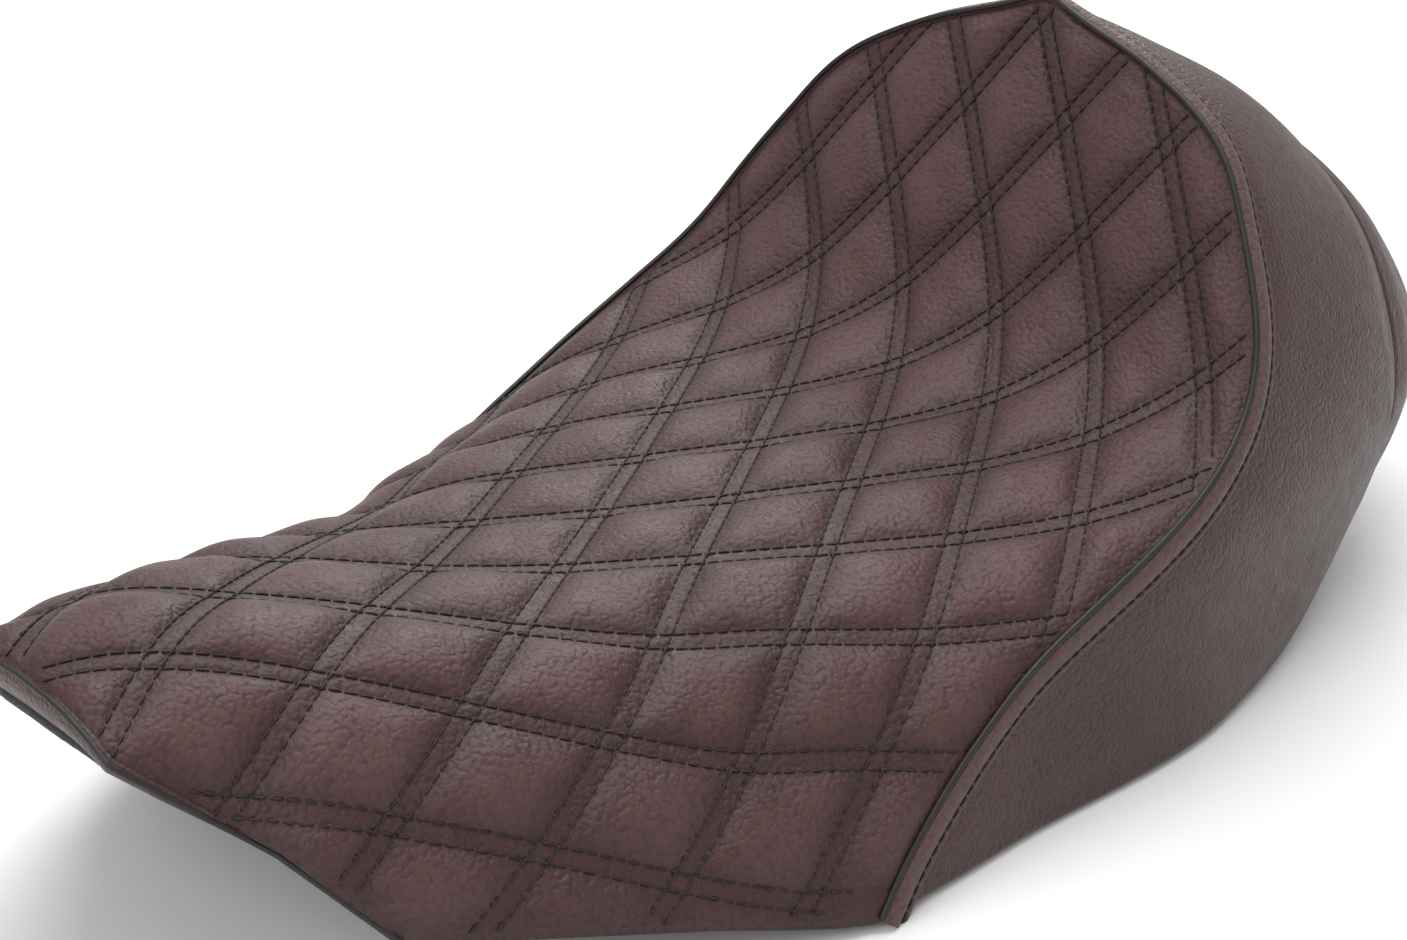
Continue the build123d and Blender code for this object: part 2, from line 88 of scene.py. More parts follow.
def through(table, station):
    """Other columns at a station: in each span a Hermite cubic, (1+2t)(1-t)^2 of the row before
    plus t^2(3-2t) of the row after, plus their slopes times t(1-t)^2 and t^2(t-1)."""
    rows = np.array(table, float)
    place = np.asarray(station, float)
    i = np.clip(np.searchsorted(rows[:, 0], place, side="right") - 1, 0, len(rows) - 2)
    low, high = rows[i], rows[i + 1]
    before, after = rows[np.maximum(i - 1, 0)], rows[np.minimum(i + 2, len(rows) - 1)]
    span = high[..., :1] - low[..., :1]
    t = (place[..., None] - low[..., :1]) / span
    slope_low = (high - before) / (high[..., :1] - before[..., :1]) * span
    slope_high = (after - low) / (after[..., :1] - low[..., :1]) * span
    mixed = ((1 + 2 * t) * (1 - t) ** 2 * low + t * (1 - t) ** 2 * slope_low
             + t * t * (3 - 2 * t) * high + t * t * (t - 1) * slope_high)
    return mixed[..., 1:]


def smooth(t):
    """Smooth step: 3t^2 - 2t^3 with t held from 0 to 1."""
    t = np.clip(t, 0, 1)
    return t * t * (3 - 2 * t)


def unit(vectors):
    """Each vector divided by its length."""
    return vectors / np.maximum(np.linalg.norm(vectors, axis=-1, keepdims=True), 1e-9)


def lengths_along(points):
    """Distance walked along a polyline up to each of its points."""
    steps = np.linalg.norm(np.diff(points, axis=0), axis=1)
    return np.concatenate([[0], np.cumsum(steps)])


def spaced(points, count):
    """The polyline again with count points at equal distances."""
    walked = lengths_along(points)
    wanted = np.linspace(0, walked[-1], count)
    return np.stack([np.interp(wanted, walked, points[:, k]) for k in range(points.shape[1])], -1)


print("tables", len(CROWN), len(ROUND_OVER), len(SKIRT), len(RIM))

# %% [markdown]
# The saddle line is one bent batten through the rows of CROWN. A natural cubic spline is that
# batten: its bending is continuous. It is walked by arc length, because leather is cut flat and
# the diamonds are equal when measured along the skin, not along the floor.

# %% The saddle line by arc length
SADDLE_SAMPLES = 6000
CENTRE_CROSSING_X = 95.6


def batten(points, count):
    """Natural cubic spline by chord length: solve for second derivatives m with
    h0 m0 + 2(h0+h1) m1 + h1 m2 = 6 (slope change), then evaluate each cubic span."""
    chord = lengths_along(points)
    h = np.diff(chord)
    slope = np.diff(points, axis=0) / h[:, None]
    size = len(points)
    system = np.eye(size)
    k = np.arange(1, size - 1)
    system[k, k - 1], system[k, k], system[k, k + 1] = h[:-1], 2 * (h[:-1] + h[1:]), h[1:]
    right = np.zeros_like(points)
    right[1:-1] = 6 * np.diff(slope, axis=0)
    m = np.linalg.solve(system, right)
    where = np.linspace(0, chord[-1], count)
    i = np.clip(np.searchsorted(chord, where, side="right") - 1, 0, size - 2)
    a, b, w = (chord[i + 1] - where)[:, None], (where - chord[i])[:, None], h[i][:, None]
    return ((m[i] * a ** 3 + m[i + 1] * b ** 3) / (6 * w) + (points[i] / w - m[i] * w / 6) * a
            + (points[i + 1] / w - m[i + 1] * w / 6) * b)


crown = np.array(CROWN)
crown_points = np.stack([along(crown[:, 0]), crown[:, 1] * HEIGHT], -1)
saddle_line = batten(crown_points, SADDLE_SAMPLES)
walked = lengths_along(saddle_line)
walked = walked - walked[np.argmin(np.abs(saddle_line[:, 0] - CENTRE_CROSSING_X))]
print("saddle line", round(float(walked[-1] - walked[0])), "mm")

# %% [markdown]
# Moulded foam has no flat faces, so the top is one formula: the saddle line, lowered towards
# each flank by a power of the distance from the middle. A blend of loose curves would do too,
# but a formula can be asked for any point, which the quilting needs.


# %% The top surface as a formula
def top_at(s, y):
    """Point of the top: the saddle line at arc length s, lowered by drop * (y / width)^fullness."""
    x, z = np.interp(s, walked, saddle_line[:, 0]), np.interp(s, walked, saddle_line[:, 1])
    width, drop, fullness = np.moveaxis(through(ROUND_OVER, (NOSE - x) / LENGTH), -1, 0)
    z = z - drop * HEIGHT * np.abs(y / (width * HALF)) ** fullness
    return np.stack([x + 0 * y, y + 0 * x, z], -1)


def top_normal(s, y):
    """Outward direction: cross product of the steps across and along the surface."""
    d = 0.4
    return unit(np.cross(top_at(s, y + d) - top_at(s, y - d), top_at(s + d, y) - top_at(s - d, y)))


print("top at mid length", np.round(top_at(np.array(0.0), np.array(0.0)), 1))

# %% [markdown]
# Seen from above, the real skirt runs straight along each side and rounds off at the rear. Each
# height has its own outline, and a superellipse gives the corners their squareness with one
# number. A point is found from how far round it is and its height, and back again.


# %% The skirt as a formula
def pinched(x):
    """Share of its width that the skirt keeps at x: a smooth step down towards the front."""
    return 1 - PINCH * smooth((x - along(PINCH_BEGINS)) / (along(PINCH_FULL) - along(PINCH_BEGINS)))


def skirt_level(z):
    """Half width, depth of the rounding and squareness of the plan outline at a height."""
    width, rear, square = np.moveaxis(through(SKIRT, z / HEIGHT), -1, 0)
    return width * HALF, along(ROUNDING_STARTS) - along(rear), square


def skirt_at(turn, z, inset=WELT_STANDS):
    """Point of the left skirt: turn runs -1 to 0 along the straight side and 0 to 1 round a
    superellipse |x/depth|^n + |y/half|^n = 1 to the middle of the rear."""
    z0 = z + inset
    half, depth, square = skirt_level(z0)
    start = along(ROUNDING_STARTS)
    ahead_x = start - np.minimum(turn, 0) * (NOSE + OVERRUN - start)
    ahead_y = half * (1 - (1 - FRONT_SHARE) * np.minimum(turn, 0) ** 2)
    angle = np.clip(turn, 0, 1) * np.pi / 2
    x = np.where(turn > 0, start - depth * np.sin(angle) ** (2 / square), ahead_x)
    y = np.where(turn > 0, half * np.cos(angle) ** (2 / square), ahead_y) * pinched(x)
    y = np.maximum(y - inset * np.clip(4 * (1 - turn), 0, 1), 0)
    return np.stack([x + inset, y, z + 0 * x], -1)


def skirt_half_width(x, z, inset=WELT_STANDS):
    """Y of the skirt above a point of the plan, negative once past the rear."""
    half, depth, square = skirt_level(z + inset)
    start = along(ROUNDING_STARTS)
    t = np.clip((x - inset - start) / (NOSE + OVERRUN - start), 0, 1)
    r = (start - x + inset) / depth
    rounded = half * np.maximum(1 - np.maximum(r, 0) ** square, 0) ** (1 / square)
    straight = half * (1 - (1 - FRONT_SHARE) * t * t)
    return np.where(r > 1, 1 - r, np.where(r > 0, rounded, straight) * pinched(x - inset) - inset)


def skirt_turn(x, z, inset=WELT_STANDS):
    """Where round the outline a point is: the inverse of skirt_at."""
    _, depth, square = skirt_level(z + inset)
    start = along(ROUNDING_STARTS)
    r = np.clip((start - x + inset) / depth, 0, 1)
    return np.where(r > 0, np.arcsin(r ** (square / 2)) * 2 / np.pi,
                    -(x - inset - start) / (NOSE + OVERRUN - start))


def rim_height(x):
    """Height of the rim that the pan stands on."""
    return through(RIM, (NOSE - x) / LENGTH)[..., 0] * HEIGHT + LEATHER


front = np.array(FRONT_EDGE)


def front_height(x):
    """Height of the raked front edge at x."""
    return np.interp((NOSE - x) / LENGTH, front[:, 0], front[:, 1]) * HEIGHT


half_at_middle = skirt_half_width(np.array(0.0), np.array(60.0))
print("skirt half width at mid length", round(float(half_at_middle), 1))

# %% [markdown]
# Where the top panel ends, it is sewn: to the nose band in front, under the rim beside the
# front arch, and to the skirt under the welt from there up over the back rest. For every
# cross-section the first y that is outside one of the three gives that outline.

# %% The outline of the top panel
ROW_STEP, ACROSS_STEP, WIDEST = 0.25, 0.5, 180
NOSE_EDGE, RIM_EDGE, SEAM_EDGE = 0, 1, 2
rows = np.arange(walked[0], walked[-1], ROW_STEP)
across = np.arange(0, WIDEST, ACROSS_STEP)
section = top_at(rows[:, None], across[None, :])
limits = np.stack([section[..., 2] - front_height(section[..., 0]),
                   section[..., 2] - rim_height(section[..., 0]),
                   skirt_half_width(section[..., 0], section[..., 2]) - across[None, :]], 0)
inside = limits.min(0)
begun = np.cumsum(inside[:, 0] > 0) > 0
used = begun & (np.cumsum(begun & (inside[:, 0] <= 0)) == 0)
rows, section, limits, inside = rows[used], section[used], limits[:, used], inside[used]
out = np.argmax(inside < 0, axis=1)
pick = np.arange(len(rows))
share = inside[pick, out - 1] / (inside[pick, out - 1] - inside[pick, out])
edge_y = across[out - 1] + share * ACROSS_STEP
kind = limits[:, pick, out].argmin(0)
outline_s = np.concatenate([rows[:1], rows, rows[-1:]])
outline_y = np.concatenate([[0.0], edge_y, [0.0]])
outline_kind = np.concatenate([kind[:1], kind, kind[-1:]])
outline = top_at(outline_s, outline_y)
print("outline", round(float(lengths_along(outline)[-1])), "mm each side, seam from x",
      round(float(outline[np.argmax(outline_kind == SEAM_EDGE), 0])))

# %% Skin distances across, for the quilting
steps_across = np.linalg.norm(np.diff(section, axis=1), axis=-1)
lateral = np.concatenate([np.zeros((len(rows), 1)), np.cumsum(steps_across, 1)], 1)


def skin_across(s, y):
    """Distance over the skin from the middle to y: the summed steps of that cross-section."""
    i = np.clip((s - rows[0]) / ROW_STEP, 0, len(rows) - 1.001)
    j = np.clip(np.abs(y) / ACROSS_STEP, 0, len(across) - 1.001)
    i0, j0 = i.astype(int), j.astype(int)
    fi, fj = i - i0, j - j0
    low = lateral[i0, j0] * (1 - fj) + lateral[i0, j0 + 1] * fj
    high = lateral[i0 + 1, j0] * (1 - fj) + lateral[i0 + 1, j0 + 1] * fj
    return (low * (1 - fi) + high * fi) * np.sign(y)


print("widest skin", round(float(lateral[np.arange(len(rows)), out - 1].max())), "mm from middle")

# %% [markdown]
# Quilting on the real seat is sewn flat before the cover is pulled on: two families of straight
# double rows cross at an angle, and the foam between them puffs up. So the height of the skin is
# a function of the distance to the nearest row of each family, and no lines are drawn by hand.

# %% The quilting pattern
DIAMOND_LONG, DIAMOND_WIDE = 79.0, 48.4
ROW_SPACING = 1 / np.hypot(1 / DIAMOND_LONG, 1 / DIAMOND_WIDE)
ROW_HALF_GAP = 3.0
PUFF = 3.6
SKIN_OFFSET = 1.6
DIP, DIP_WIDTH, DIP_FADE = 0.55, 1.0, 6
TUCK, TUCK_WIDTH = 1.3, 5
PUFF_FADE = 15


def row_distances(s, t):
    """Distance to the nearest double row of each family, s/long + t/wide and s/long - t/wide
    being whole numbers on the rows."""
    rising = s / DIAMOND_LONG + t / DIAMOND_WIDE
    falling = s / DIAMOND_LONG - t / DIAMOND_WIDE
    return (np.abs(rising - np.round(rising)) * ROW_SPACING,
            np.abs(falling - np.round(falling)) * ROW_SPACING)


def swell(d):
    """Height from 0 on the stitches to 1 in the middle of a diamond: 1 - (1 - t)^3."""
    t = np.clip((d - ROW_HALF_GAP) / (ROW_SPACING / 2 - ROW_HALF_GAP), 0, 1)
    return 1 - (1 - t) ** 3


def groove(d):
    """Bell exp(-x^2) about each stitch row, x being the distance from the row."""
    return np.exp(-((d - ROW_HALF_GAP) / DIP_WIDTH) ** 2)


def quilt_height(s, t, from_edge):
    """Puff times the two swells, less a dip at each stitch row, plus a slow uneven fullness,
    less a tuck at the outline. The second value is the swell alone, for the colour: painted
    shade in the channels and painted highlight on the crests."""
    a, b = row_distances(s, t)
    fade = smooth(from_edge / PUFF_FADE)
    uneven = (0.5 * np.sin(s * 0.071 + 1.3) * np.sin(t * 0.053 + 0.4)
              + 0.3 * np.sin(s * 0.19 + t * 0.13))
    body = (PUFF + uneven) * swell(a) * swell(b) * fade
    dip = DIP * (groove(a) + groove(b)) * smooth(from_edge / DIP_FADE)
    tuck = TUCK * (1 - smooth(from_edge / TUCK_WIDTH))
    return SKIN_OFFSET + body - dip - tuck, swell(a) * swell(b) * fade


CORNER_X, CORNER_Y, CORNER_FULL = 274.0, 75.0, 6.0
CORNER_SPREAD_X, CORNER_SPREAD_Y = 17, 15


def corner_fullness(points):
    """The foam fills the two front corners out: a bell exp(-x^2 - y^2) about each, x and y
    being distances from the corner in spreads."""
    from_x = (points[..., 0] - CORNER_X) / CORNER_SPREAD_X
    from_y = (np.abs(points[..., 1]) - CORNER_Y) / CORNER_SPREAD_Y
    return CORNER_FULL * np.exp(-(from_x ** 2 + from_y ** 2))


print("rows are", round(float(ROW_SPACING), 1), "mm apart")


# %% Putting a grid of points into a mesh
def mesh_from(name, points, faces, slot_name, *nodes):
    """A piece from points in millimetres and faces; it rides on the root body."""
    mesh = bpy.data.meshes.new(name)
    mesh.from_pydata((np.asarray(points) / 1000).tolist(), [], [list(map(int, f)) for f in faces])
    mesh.polygons.foreach_set("use_smooth", np.ones(len(mesh.polygons), bool))
    piece = bpy.data.objects.new(name, mesh)
    bpy.context.scene.collection.objects.link(piece)
    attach(piece, "root")
    if nodes:
        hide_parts(*nodes)
    return piece


def grid_faces(n, m, start=0, close=False):
    """Quads of an n by m grid of points numbered row by row; close joins the last column to
    the first."""
    i, j = np.meshgrid(np.arange(n - 1), np.arange(m if close else m - 1), indexing="ij")
    a, b = start + i * m + j, start + i * m + (j + 1) % m
    return np.stack([a, b, b + m, a + m], -1).reshape(-1, 4)


def weld(piece, distance=0.00002):
    """Merges the points that coincide and drops the faces that vanish with them."""
    work = bmesh.new()
    work.from_mesh(piece.data)
    bmesh.ops.remove_doubles(work, verts=work.verts, dist=distance)
    bmesh.ops.dissolve_degenerate(work, dist=1e-7, edges=work.edges)
    bmesh.ops.recalc_face_normals(work, faces=work.faces)
    work.to_mesh(piece.data)
    work.free()
    piece.data.update()
    return piece


def carry(path, side, out_dir, profile):
    """A closed profile carried along a path and capped: each point is path + d * side + h * out
    for the profile's (d, h). profile is one (k, 2) array, or one for each point of the path."""
    sections = np.broadcast_to(profile, (len(path),) + np.shape(profile)[-2:])
    points = (path[:, None] + sections[..., :1] * side[:, None]
              + sections[..., 1:] * out_dir[:, None])
    k = sections.shape[1]
    faces = grid_faces(len(path), k, close=True).tolist()
    faces += [list(range(k))[::-1], list(range((len(path) - 1) * k, len(path) * k))]
    return points.reshape(-1, 3), faces


def mirrored(half_points):
    """The same points on the other side of the seat: y changes its sign."""
    return half_points * np.array([1, -1, 1])


def both_sides(half_points):
    """Left-hand points, then their mirror image walked back to where they began."""
    return np.concatenate([half_points, mirrored(half_points)[::-1][1:]])


print("mesh helpers ready")

# %% [markdown]
# The cushion is what the rider sits on: a quilted panel over foam. A sheet laid on by simulation
# could make it, but the rows are sewn at known places, so their shape is set directly. The grid
# runs from outline to outline, bends with it at both ends, and closes with a shallow underside.

# %% The quilted cushion's grid
STATIONS, HALF_COLUMNS, UNDER = 430, 100, 9
ROW_BEND = 0.45
UNDERSIDE, END_TAPER = 13, 30
walk = lengths_along(outline)
pace = np.linspace(0, walk[-1], STATIONS)
edge_s, edge_w = np.interp(pace, walk, outline_s), np.interp(pace, walk, outline_y)
even_s = np.linspace(outline_s[0], outline_s[-1], STATIONS)
middle_s = ROW_BEND * edge_s + (1 - ROW_BEND) * even_s
from_end = np.minimum(pace, walk[-1] - pace)[:, None]


def spread_over(columns):
    """Grid (s, y): y is q times the outline's y, and s bends from the middle by q squared."""
    q = columns[None]
    return middle_s[:, None] + (edge_s - middle_s)[:, None] * q ** 2, edge_w[:, None] * q


grid_s, grid_y = spread_over(np.linspace(-1, 1, 2 * HALF_COLUMNS + 1))
skin = skin_across(grid_s, grid_y)
from_edge = np.maximum(np.abs(skin[:, -1:]) - np.abs(skin), 0)
lift, painted_light_on_crests = quilt_height(grid_s, skin, from_edge)
smooth_top = top_at(grid_s, grid_y)
full_lift = (lift + corner_fullness(smooth_top))[..., None]
quilt_points = smooth_top + top_normal(grid_s, grid_y) * full_lift
print("grid", grid_s.shape, "highest puff", round(float(lift.max()), 1), "mm")

# %% The underside and the padded piece
under_columns = np.linspace(-1, 1, UNDER + 2)
under_s, under_y = spread_over(under_columns)
under_depth = UNDERSIDE * (1 - under_columns[None] ** 4) * smooth(from_end / END_TAPER)
under_points = top_at(under_s, under_y) - top_normal(under_s, under_y) * under_depth[..., None]
under_points[:, 0], under_points[:, -1] = quilt_points[:, 0], quilt_points[:, -1]
faces = np.concatenate([grid_faces(STATIONS, 2 * HALF_COLUMNS + 1),
                        grid_faces(STATIONS, UNDER + 2, quilt_points.size // 3)[:, ::-1]])
points = np.concatenate([quilt_points.reshape(-1, 3), under_points.reshape(-1, 3)])
cushion = mesh_from("quilted_cushion", points, faces, "quilted_leather",
                    "cover_top", "quilt_padding", "foam_core")
# The swell goes into the 'raised' attribute. The quilted leather uses it for painted shade in the
# channels and painted highlight on the crests.
raised = cushion.data.attributes.new("raised", "FLOAT", "POINT")
painted_light_values = np.concatenate([painted_light_on_crests.ravel(), np.zeros(under_points.size // 3)])
raised.data.foreach_set("value", painted_light_values.astype(np.float32))
weld(cushion)
print("cushion", len(cushion.data.polygons), "faces")

# %% [markdown]
# The thread is what the eye reads as sewn, so each stitch is its own small raised bead of
# thread with a gap before the next, laid along both rows of every channel. Thousands of them
# share one low shape: a tube of five sides with pinched ends.

# %% One stitch, many times
STITCH, GAP, THREAD = 4.0, 0.8, 0.5
STITCH_ARCH = 0.25
SIDES = 5
RINGS_AT = np.array([0.0, 0.12, 0.5, 0.88, 1.0])
RING_SIZES = np.array([0.35, 0.85, 1.0, 0.85, 0.35])


def stitch_mesh(name, starts, ends, ups, slot_name="quilted_leather"):
    """Beads from start to end points: five-sided rings at five places along, with radii
    following a half ellipse, lifted along ups by a half sine."""
    ring = np.linspace(0, 2 * np.pi, SIDES + 1)[:-1]
    radius = THREAD * RING_SIZES
    axis = unit(ends - starts)
    side = unit(np.cross(axis, ups))
    lifted = np.cross(side, axis)
    centre = starts[:, None] + (ends - starts)[:, None] * RINGS_AT[None, :, None]
    arch_lift = STITCH_ARCH * np.sin(np.pi * RINGS_AT)
    centre = centre + lifted[:, None] * arch_lift[None, :, None]
    points = (centre[:, :, None] + (side[:, None, None] * np.cos(ring)[None, None, :, None]
                                    + lifted[:, None, None] * np.sin(ring)[None, None, :, None])
              * radius[None, :, None, None])
    bead = SIDES * len(RINGS_AT)
    first = bead * np.arange(len(starts))[:, None]
    walls = grid_faces(len(RINGS_AT), SIDES, close=True)
    quads = (walls[None] + first[:, None]).reshape(-1, 4)
    caps = np.concatenate([np.arange(SIDES)[::-1][None] + first,
                           np.arange(bead - SIDES, bead)[None] + first])
    piece = mesh_from(name, points.reshape(-1, 3), quads.tolist() + caps.tolist(), slot_name)
    return weld(piece, 1e-7)


print("stitch", STITCH, "mm, gap", GAP, "mm")


# %% Where the quilting's stitches go
END_MARGIN, EDGE_MARGIN = 3, 3.5
FAR_FROM_EDGE = 20.0
THREAD_RISE = 0.7
FEWEST_ROWS, MOST_ROWS, STITCHES_EACH_WAY = -8, 10, 70


def thread_place(s, t):
    """Point and normal on the quilted skin where the skin distance across is t."""
    i = np.clip(((s - rows[0]) / ROW_STEP).astype(int), 0, len(rows) - 1)
    table = lateral[i]
    j = np.clip((table < np.abs(t)[:, None]).sum(1) - 1, 0, len(across) - 2)
    short, long = table[np.arange(len(j)), j], table[np.arange(len(j)), j + 1]
    share_ = (np.abs(t) - short) / np.maximum(long - short, 1e-6)
    y = (across[j] + ACROSS_STEP * share_) * np.sign(t)
    normal = top_normal(s, y)
    height, _ = quilt_height(s, t, np.full_like(s, FAR_FROM_EDGE))
    flat = top_at(s, y)
    lift_ = height + corner_fullness(flat) + THREAD * THREAD_RISE
    return flat + normal * lift_[:, None], normal


def quilt_stitches(name, sign):
    """All stitches of one family: for each whole number n and each of its two rows, positions
    spaced one stitch and gap apart along s/long + sign * t/wide = n."""
    pitch = STITCH + GAP
    step_s = pitch * (ROW_SPACING / DIAMOND_WIDE)
    step_t = -sign * pitch * (ROW_SPACING / DIAMOND_LONG)
    n, k, row = np.meshgrid(np.arange(FEWEST_ROWS, MOST_ROWS),
                            np.arange(-STITCHES_EACH_WAY, STITCHES_EACH_WAY), [-1, 1],
                            indexing="ij")
    s0 = n * DIAMOND_LONG + row * ROW_HALF_GAP * DIAMOND_LONG / ROW_SPACING
    s = (s0 + (k + 0.5) * step_s).ravel()
    t = ((k + 0.5) * step_t).ravel()
    fits = (s > rows[0] + END_MARGIN) & (s < rows[-1] - END_MARGIN)
    s, t = s[fits], t[fits]
    fits = np.abs(t) < np.interp(s, rows, lateral[pick, out - 1]) - EDGE_MARGIN
    s, t = s[fits], t[fits]
    reach = STITCH / pitch / 2
    starts, ups = thread_place(s - reach * step_s, t - reach * step_t)
    ends, _ = thread_place(s + reach * step_s, t + reach * step_t)
    return stitch_mesh(name, starts, ends, ups)


threads = [quilt_stitches("quilt_thread_rising", 1), quilt_stitches("quilt_thread_falling", -1)]
faces_each = SIDES * (len(RINGS_AT) - 1) + 2
print("stitches", sum(len(piece.data.polygons) for piece in threads) // faces_each)

# %% [markdown]
# The welt is a folded strip of the same leather sewn over the seam between top and skirt. Its
# section is a low rounded band with a stitched groove near its outer edge. It is carried along
# the seam; at each point the band lies down the skirt and stands out along the skirt's normal.

# %% The seam's path and its directions
SEAM_POINTS_EACH_SIDE = 330
TURN_STEP, LEVEL_STEP, LAST_TURN = 0.004, 0.6, 0.994
AVERAGED = 21
seam_points = outline[outline_kind == SEAM_EDGE]
seam_points[-1, 1] = 0.0
seam_half = spaced(seam_points, SEAM_POINTS_EACH_SIDE)
seam_path = both_sides(seam_half)
seam_tangent = unit(np.gradient(seam_path, axis=0))


def skirt_normal(turn, z, inset=WELT_STANDS):
    """Outward direction of the left skirt: cross product of steps round and up."""
    turn = np.minimum(turn, LAST_TURN)
    round_step = skirt_at(turn + TURN_STEP, z, inset) - skirt_at(turn - TURN_STEP, z, inset)
    up_step = skirt_at(turn, z + LEVEL_STEP, inset) - skirt_at(turn, z - LEVEL_STEP, inset)
    return unit(np.cross(up_step, round_step)) * np.array([-1, -1, -1])


def averaged(directions, count=AVERAGED):
    """Each direction replaced by the mean of its neighbours under a raised cosine."""
    kernel = np.hanning(count) / np.hanning(count).sum()
    spare = count // 2
    longer = np.concatenate([np.repeat(directions[:1], spare, 0), directions,
                             np.repeat(directions[-1:], spare, 0)])
    return unit(np.stack([np.convolve(longer[:, k], kernel, "valid") for k in range(3)], -1))


half_turn = skirt_turn(seam_half[:, 0], seam_half[:, 2])
half_out = skirt_normal(half_turn, seam_half[:, 2])
half_out[half_out[:, 1] < 0, 1] = 0
half_out = unit(half_out)
seam_out = averaged(both_sides(half_out))
seam_down = unit(np.cross(seam_tangent, seam_out))
seam_down = seam_down * np.where(seam_down[:, 2:] > 0, -1, 1)
square_out = np.cross(seam_down, seam_tangent)
seam_out = unit(square_out * np.sign((square_out * seam_out).sum(-1, keepdims=True)))
print("outward at the seam foot", np.round(half_out[0], 2), "at the back",
      np.round(half_out[-1], 2))

# %% The welt and a dark cord of painted shadow in the seam
WELT_SECTION = np.array([(-0.6, -0.6), (-0.5, 1.0), (0.3, 2.0), (1.5, 2.7), (3.0, 3.0), (4.8, 2.9),
                         (6.4, 2.3), (7.5, 1.5), (8.2, 1.15), (8.9, 1.5), (9.9, 1.6), (10.8, 1.1),
                         (11.2, 0.2), (11.0, -0.9), (5.0, -1.0)])
GROOVE_DOWN, GROOVE_OUT = 8.2, 1.15
SHADOW_CORD_RADIUS, SHADOW_CORD_DOWN, SHADOW_CORD_OUT = 1.15, -1.3, 0.9
welt_points, welt_faces = carry(seam_path, seam_down, seam_out, WELT_SECTION)
welt = weld(mesh_from("welt", welt_points, welt_faces, "welt_leather", "seam_welt"))
cord_ring = np.linspace(0, 2 * np.pi, 11)[:-1]


def round_section(radius, down, out_by):
    """A circle: (radius cos + down, radius sin + out) for ten angles."""
    return np.stack([np.cos(cord_ring) * radius + down, np.sin(cord_ring) * radius + out_by], -1)


# A near-black cord laid in the gap between the top panel and the welt stands for the shadow there:
# painted shadow.
cord_section = round_section(SHADOW_CORD_RADIUS, SHADOW_CORD_DOWN, SHADOW_CORD_OUT)
cord_points, cord_faces = carry(seam_path, seam_down, seam_out, cord_section)
welt_seam_shadow = weld(mesh_from("welt_seam_shadow_cord", cord_points, cord_faces, "welt_leather"))
print("welt", len(welt.data.polygons), "faces, piping", len(welt_seam_shadow.data.polygons))


# %% The stitches in the welt's groove
FIRST_STITCH, LAST_STITCH = 2.0, 6


def row_of_stitches(name, path, ups, slot_name):
    """Stitches along a polyline: it is walked in steps of one stitch and one gap."""
    distance = lengths_along(path)
    begins = np.arange(FIRST_STITCH, distance[-1] - LAST_STITCH, STITCH + GAP)

    def at(where, values):
        return np.stack([np.interp(where, distance, values[:, k]) for k in range(3)], -1)

    return stitch_mesh(name, at(begins, path), at(begins + STITCH, path), at(begins, ups),
                       slot_name=slot_name)


welt_row = seam_path + GROOVE_DOWN * seam_down + (GROOVE_OUT + THREAD * 0.5) * seam_out
welt_thread = row_of_stitches("welt_thread", welt_row, seam_out, "welt_leather")
print("welt stitches", len(welt_thread.data.polygons) // faces_each)

# %% [markdown]
# The skirt is plain leather over the foam's flank, in three panels: left, right and a rear panel
# whose seam leans back and meets over the middle. Each panel is a grid stretched between two
# edges in (turn, height) coordinates, so it follows the skirt's formula exactly in between.

# %% The skirt's lower edge
BEHIND_X, ARCH_BLEND = -200, 9
RIM_ROUNDS, FIRST_GUESS = 12, 10.0


def chain_of(points):
    """A polyline of skirt points as (turn, height) pairs."""
    return np.stack([skirt_turn(points[:, 0], points[:, 2]), points[:, 2]], -1)


def lower_edge(points):
    """Height of the leather's lower edge: the rim, raised behind to the arch over the fender."""
    within = smooth((ARCH_HALF_WIDTH + 1 - np.abs(points[..., 1])) / ARCH_BLEND)
    rise = within * (points[..., 0] < BEHIND_X)
    rim_z = rim_height(points[..., 0])
    return rim_z + (ARCH_TOP - rim_z) * rise


def on_rim(turn):
    """Height of the lower edge at each turn, found by a few rounds of substitution."""
    z = np.full_like(turn, FIRST_GUESS)
    for _ in range(RIM_ROUNDS):
        z = lower_edge(skirt_at(turn, z))
    return z


def spaced_on_skirt(chain, count):
    """The chain with count pairs at equal distances over the skirt."""
    distance = lengths_along(skirt_at(chain[:, 0], chain[:, 1]))
    wanted = np.linspace(0, distance[-1], count)
    return np.stack([np.interp(wanted, distance, chain[:, k]) for k in range(2)], -1)


middle_low = float(on_rim(np.array([1.0]))[0])
print("lower edge at the middle of the rear", round(middle_low, 1), "mm up")

# %% The leaning rear seam and the edges of the side panel
seam_z = np.linspace(25, 190, 1200)
seam_x = REAR_SEAM_X - seam_z * REAR_SEAM_LEAN
_, seam_depth, seam_square = skirt_level(seam_z + WELT_STANDS)
seam_share = (along(ROUNDING_STARTS) - seam_x + WELT_STANDS) / seam_depth
rear_turn = np.arcsin(np.clip(seam_share, 0, 1) ** (seam_square / 2)) * 2 / np.pi
kept = (seam_z > on_rim(rear_turn)) & (seam_share <= 1)
kept &= np.cumsum(~kept & (seam_z > 80)) == 0
rear_seam = np.stack([rear_turn, seam_z], -1)[kept]
rear_seam = np.concatenate([rear_seam, [[1.0, rear_seam[-1, 1] + 0.5]]])
foot_turn = float(half_turn[0])
rim_turns = np.linspace(foot_turn, rear_seam[0, 0], 400)
rim_chain = np.stack([rim_turns, on_rim(rim_turns)], -1)
low_chain = np.concatenate([rim_chain, rear_seam[1:]])
top_chain = chain_of(seam_half)
top_chain[-1, 0] = 1.0
